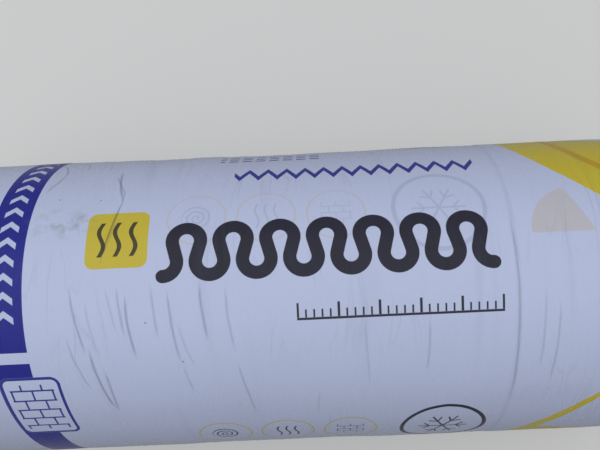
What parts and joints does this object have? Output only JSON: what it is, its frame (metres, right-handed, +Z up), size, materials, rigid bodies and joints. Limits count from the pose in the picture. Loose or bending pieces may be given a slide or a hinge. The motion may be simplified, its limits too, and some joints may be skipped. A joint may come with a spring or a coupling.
{
  "type": "insulation roll",
  "caption": "Lying roll of glass wool insulation in a printed white plastic film, gathered over both ends around a round mouth.",
  "frame": {"origin": "on the ground below the middle of the roll, at the bottom centre of the whole part's box", "axes": "+X along the roll's axis, +Y across it, +Z up from the ground that the roll lies on"},
  "size_m": [1.207, 0.4526, 0.4526],
  "materials": {
    "glass_wool": "soft matted fibres, matt",
    "printed_film": "stretched film, semi-gloss"
  },
  "bodies": {
    "root": {"wool_roll": "glass_wool", "film_wrap": "printed_film"}
  },
  "joints": []
}
